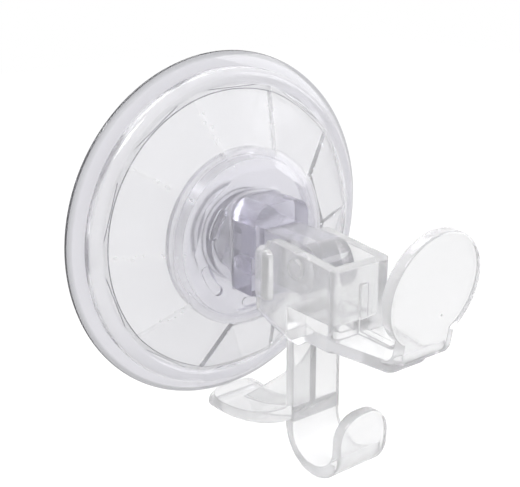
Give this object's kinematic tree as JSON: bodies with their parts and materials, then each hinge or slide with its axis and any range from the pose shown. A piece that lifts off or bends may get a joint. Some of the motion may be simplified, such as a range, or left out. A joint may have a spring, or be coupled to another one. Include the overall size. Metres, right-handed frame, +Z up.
{
  "type": "suction cup hook",
  "caption": "Lever-lock suction cup with a faceted clear cap, a round thumb disc on the locking lever and a hanging strap with a front and a back hook.",
  "frame": {"origin": "centre of the cup's flat rim, on the wall plane", "axes": "+Y into the wall, along the cup's axis; -Y to the front, towards the thumb disc; +Z up; the hooks hang along -Z"},
  "size_m": [0.08, 0.0673, 0.0832],
  "materials": {
    "soft_clear": "clear, smooth soft vinyl",
    "cap_clear": "clear, polished",
    "stem_clear": "clear, polished",
    "lever_clear": "clear, polished"
  },
  "bodies": {
    "base": {"suction_cup": "soft_clear", "pressure_cap": "cap_clear"},
    "stem": {"stem": "stem_clear"},
    "hook_lever": {"hook_lever": "lever_clear"}
  },
  "joints": [
    {"name": "stem_draw", "type": "slide", "parent": "base", "child": "stem", "axis": [0, 1, 0], "range_m": [0, 0.0025], "deforming": ["suction_cup"]},
    {"name": "lever_lift", "type": "hinge", "parent": "stem", "child": "hook_lever", "pos_m": [0, -0.0348, 0.001], "axis": [-1, 0, 0], "range_deg": [0, 90]}
  ],
  "couplings": [
    {"joint": "stem_draw", "follows": "lever_lift", "m_per_rad": 0.00159}
  ]
}
